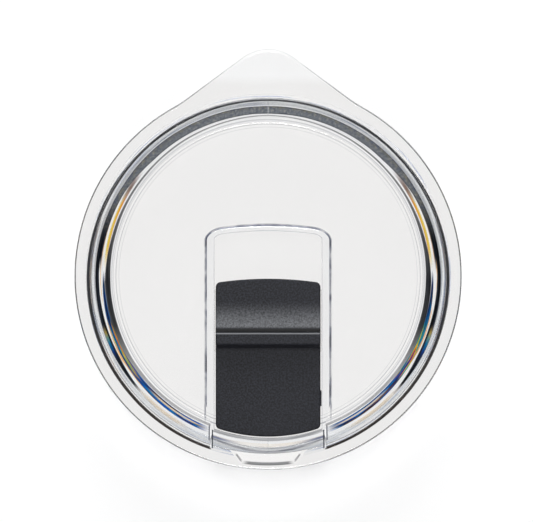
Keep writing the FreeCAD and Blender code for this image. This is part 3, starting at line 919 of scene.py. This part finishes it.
def rail(size, side):
    shape = bmesh.new()
    bmesh.ops.create_cube(shape, size=1.0)
    inner = size.channel_half - size.rail_depth
    outer = size.channel_half + OVERLAP
    span = (outer - inner, size.rail_front - size.rail_rear, size.rail_height)
    bmesh.ops.scale(shape, vec=span, verts=shape.verts)
    across, along = side * (inner + outer) / 2, -(size.rail_front + size.rail_rear) / 2
    middle = (across, along, size.floor + size.rail_foot + size.rail_height / 2)
    bmesh.ops.translate(shape, verts=shape.verts, vec=middle)
    return shape


def spout_cut(size):
    """What the spout takes away: an upright face near the slider, then a ramp to the flange's top."""
    top = LID_TOP / MM
    channel_top = size.floor + size.channel_height
    wide = size.channel_half + size.flare
    ramp = turned(
        (
            (0, size.floor), (size.spout, size.floor), (size.spout, size.floor + size.sill),
            (size.ramp, top), (size.ramp, top + OVERLAP), (0, top + OVERLAP),
        )
    )
    between = section(
        (
            (-size.channel_half, size.floor), (size.channel_half, size.floor),
            (size.channel_half, channel_top), (wide, top + OVERLAP), (-wide, top + OVERLAP),
            (-size.channel_half, channel_top),
        ),
        lambda across, up: (across, -size.hole_front / 2, up),
    )
    return combined(ramp, pulled(between, (0, -size.flange, 0)), "INTERSECT")


def dip_cut(size):
    """The shallow dip in the flange beyond the spout's ramp."""
    top = LID_TOP / MM
    inner, outer = size.ramp - size.dip_reach, size.ramp + size.dip_reach
    wedge = turned(
        ((inner, top - 2 * size.dip_depth), (outer, top), (outer, top + OVERLAP), (inner, top + OVERLAP))
    )
    half = size.dip_width / 2
    plan = section(
        (
            (-half, -outer - OVERLAP), (-half - size.dip_flare, -inner),
            (half + size.dip_flare, -inner), (half, -outer - OVERLAP),
        ),
        on_plan,
    )
    return combined(wedge, raised(plan, size.groove_high, top + 1.0), "INTERSECT")


def hole_cut(size):
    """The drink hole, whose front follows the lid's round edge."""
    half = size.hole_width / 2
    corner = (size.hole_corner, 6)
    plan = section(
        (
            (-half, -size.hole_front), (half, -size.hole_front), (half, -size.hole_rear, *corner),
            (-half, -size.hole_rear, *corner),
        ),
        on_plan,
    )
    front = [e for e in plan.edges if all(abs(v.co.y + size.hole_front) < LEVEL for v in e.verts)]
    bmesh.ops.subdivide_edges(plan, edges=front, cuts=15)
    for point in plan.verts:
        if point.co.y < -size.hole_front + LEVEL:
            point.co.y = -math.sqrt(size.hole_front**2 - point.co.x**2)
    return raised(plan, -OVERLAP, size.floor + OVERLAP)


class LID_OT_clear_moulding(bpy.types.Operator):
    """The clear lid body: plug, well, flange with its tab, channel, rails, spout, dip and drink hole"""

    bl_idname = "lid.clear_moulding"
    bl_label = "Clear Moulding"

    def execute(self, context):
        finishes = context.scene.lid_finishes
        size = in_millimetres(context.scene.moulding_sizes)
        shape = combined(turned_body(size), channel_walls(size), "UNION")
        for side in (1, -1):
            shape = combined(shape, rail(size, side), "UNION")
        for cut in (spout_cut(size), dip_cut(size), hole_cut(size)):
            shape = combined(shape, cut, "DIFFERENCE")
        bmesh.ops.remove_doubles(shape, verts=shape.verts, dist=MERGE)
        shape.normal_update()
        mouth = [
            e
            for e in sharp_edges(shape, RIGHT_ANGLED)
            if all(self.at_hole(v.co, size) for v in e.verts)
            and abs(e.verts[0].co.z - e.verts[1].co.z) < LEVEL
        ]
        rounded(shape, mouth, size.edge_round, 3)
        shape.normal_update()
        for face in shape.faces:
            face.material_index = self.finish_of(face)
        materials = [clear_plastic(finishes, size)]
        materials += [made(finishes) for made in (ring_plastic, edge_plastic, foot_plastic)]
        piece = new_piece("clear_moulding", shape, materials)
        piece.data.set_sharp_from_angle(angle=math.radians(CREASED))
        even_shading(piece)
        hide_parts("lid_body")
        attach(piece, "lid")
        return {"FINISHED"}

    @staticmethod
    def at_hole(spot, size):
        low = spot.z < size.floor + OVERLAP and spot.xy.length < size.hole_front + OVERLAP
        return low and abs(spot.x) < size.hole_width / 2 + OVERLAP and spot.y < -size.hole_rear + 1.0

    @staticmethod
    def finish_of(face):
        """0 for plain faces, 1 for wall and spout, 2 for the channel's edges, 3 for foot and groove."""
        middle = face.calc_center_median()
        radius = middle.xy.length
        up = face.normal.z
        inward = face.normal.xy.dot(middle.xy) < 0
        in_wall = 36.0 < radius < 40.65 and up > 0.02 and (inward or middle.z > 14.0)
        in_spout = 36.0 < radius < 42.2 and up < 0.8 and inward
        if middle.z > 2.3 and (in_wall or in_spout):
            return 1
        by_channel = abs(middle.x) < 15.0 and -36.5 < middle.y < 12.5
        if by_channel and 5.0 < middle.z < 7.05 and up < 0.98:
            return 2
        in_foot = radius > 39.0 and middle.z < 1.7 and abs(up) < 0.99
        in_groove = 39.6 < radius < 41.35 and 4.8 < middle.z < 9.6
        return 3 if in_foot or in_groove else 0


class LID_OT_mouth_gasket(bpy.types.Operator):
    """The clear silicone gasket, turned from its section with rounded lips"""

    bl_idname = "lid.mouth_gasket"
    bl_label = "Mouth Gasket"

    def execute(self, context):
        size = in_millimetres(context.scene.gasket_sizes)
        bottom, top, reach = (GASKET_BOX[0][2] / MM, GASKET_BOX[1][2] / MM, GASKET_BOX[1][0] / MM)
        edge = (size.edge_round, 3)
        corners = [(size.bore, bottom, *edge), (size.face, bottom, *edge)]
        for share in (0.25, 0.75):
            middle = bottom + (top - bottom) * share
            corners += [
                (size.face, middle - size.root / 2, *edge), (reach, middle - size.tip / 2, *edge),
                (reach, middle + size.tip / 2, *edge), (size.face, middle + size.root / 2, *edge),
            ]
        corners += [(size.face, top, *edge), (size.bore, top, *edge)]
        piece = new_piece("soft_gasket", turned(corners), (clear_silicone(),))
        even_shading(piece)
        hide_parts("mouth_gasket")
        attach(piece, "lid")
        return {"FINISHED"}


class LID_OT_slider(bpy.types.Operator):
    """The slider's grained charcoal finish, and the grey silicone of its seal"""

    bl_idname = "lid.slider"
    bl_label = "Slider and Seal"

    def execute(self, context):
        finishes = context.scene.lid_finishes
        dress("slider", charcoal_plastic(finishes))
        dress("slider_seal", grey_silicone())
        return {"FINISHED"}


class LID_OT_studio(bpy.types.Operator):
    """The pale floor, the room, three soft lamps and the camera over the lid"""

    bl_idname = "lid.studio"
    bl_label = "Studio"

    def execute(self, context):
        settings = context.scene.studio_settings
        self.floor(context)
        self.room(context)
        self.lamp(context, "key_lamp", (0.0, 0.26, 0.95), 0.2, settings.key_power)
        self.lamp(context, "back_lamp", (0.0, 0.85, 0.38), 0.45, settings.back_power)
        self.lamp(context, "front_lamp", (0.0, -0.62, 0.62), 0.8, settings.front_power)
        self.camera(context, settings)
        context.scene.view_settings.view_transform = "Standard"
        return {"FINISHED"}

    @staticmethod
    def floor(context):
        shape = bmesh.new()
        bmesh.ops.create_grid(shape, x_segments=4, y_segments=4, size=4.0)
        bmesh.ops.translate(shape, verts=shape.verts, vec=(0, 0, LID_BOX[0][2] - FLOOR_GAP))
        new_piece("floor", shape, (floor_white(),), scale=1.0)

    @staticmethod
    def room(context):
        """White to the eye. In the plastic it is pale with darker sides."""
        world = bpy.data.worlds.new("room")
        context.scene.world = world
        recipe = Recipe(world)
        way = recipe.node("ShaderNodeTexCoord").outputs["Generated"]
        parts = recipe.node("ShaderNodeSeparateXYZ", {0: way}).outputs
        across, up = Number(recipe, parts[0]), Number(recipe, parts[2])
        walls = abs(across).ramp(((0.30, (0.62, 0.62, 0.62)), (0.62, (0.02, 0.02, 0.022))))
        walls = recipe.mix(up.smooth(0.965, 0.99), walls, (0.22, 0.22, 0.22))
        is_camera = recipe.node("ShaderNodeLightPath").outputs["Is Camera Ray"]
        colour_seen = recipe.mix(is_camera, walls, (1.0, 1.0, 1.0))
        recipe.put(recipe.existing("Background").inputs["Color"], colour_seen)

    @staticmethod
    def lamp(context, name, place, size, power):
        light = bpy.data.lights.new(name, "AREA")
        light.shape = "SQUARE"
        light.size = size
        light.energy = power
        lamp = bpy.data.objects.new(name, light)
        lamp.location = place
        lamp.rotation_euler = (-Vector(place)).to_track_quat("-Z", "Y").to_euler()
        context.scene.collection.objects.link(lamp)

    @staticmethod
    def camera(context, settings):
        data = bpy.data.cameras.new("camera")
        data.sensor_width = 36.0
        data.lens = data.sensor_width * settings.camera_distance / settings.view_width
        data.clip_end = 20.0
        camera = bpy.data.objects.new("camera", data)
        camera.location = (*settings.view_centre, LID_TOP + settings.camera_distance)
        context.scene.collection.objects.link(camera)
        context.scene.camera = camera


class LID_PT_panel(bpy.types.Panel):
    """Lists the lid's pieces and their sizes"""

    bl_idname = "LID_PT_panel"
    bl_label = "Tumbler Lid"
    bl_space_type = "VIEW_3D"
    bl_region_type = "UI"
    bl_category = "Lid"

    def draw(self, context):
        for name in GROUPS:
            group = getattr(context.scene, name)
            column = self.layout.column()
            for size in group.__annotations__:
                column.prop(group, size)
        for operator in OPERATORS:
            self.layout.operator(operator.bl_idname)


OPERATORS = (LID_OT_clear_moulding, LID_OT_mouth_gasket, LID_OT_slider, LID_OT_studio)
GROUPS = {
    "lid_finishes": LidFinishes,
    "moulding_sizes": MouldingSizes,
    "gasket_sizes": GasketSizes,
    "studio_settings": StudioSettings,
}
CLASSES = (*GROUPS.values(), *OPERATORS, LID_PT_panel)


def register():
    for each in CLASSES:
        bpy.utils.register_class(each)
    for name, group in GROUPS.items():
        setattr(bpy.types.Scene, name, bpy.props.PointerProperty(type=group))


def unregister():
    for name in GROUPS:
        delattr(bpy.types.Scene, name)
    for each in reversed(CLASSES):
        bpy.utils.unregister_class(each)


def main():
    register()
    bpy.ops.lid.clear_moulding()
    bpy.ops.lid.mouth_gasket()
    bpy.ops.lid.slider()
    bpy.ops.lid.studio()


if __name__ == "__main__":
    main()
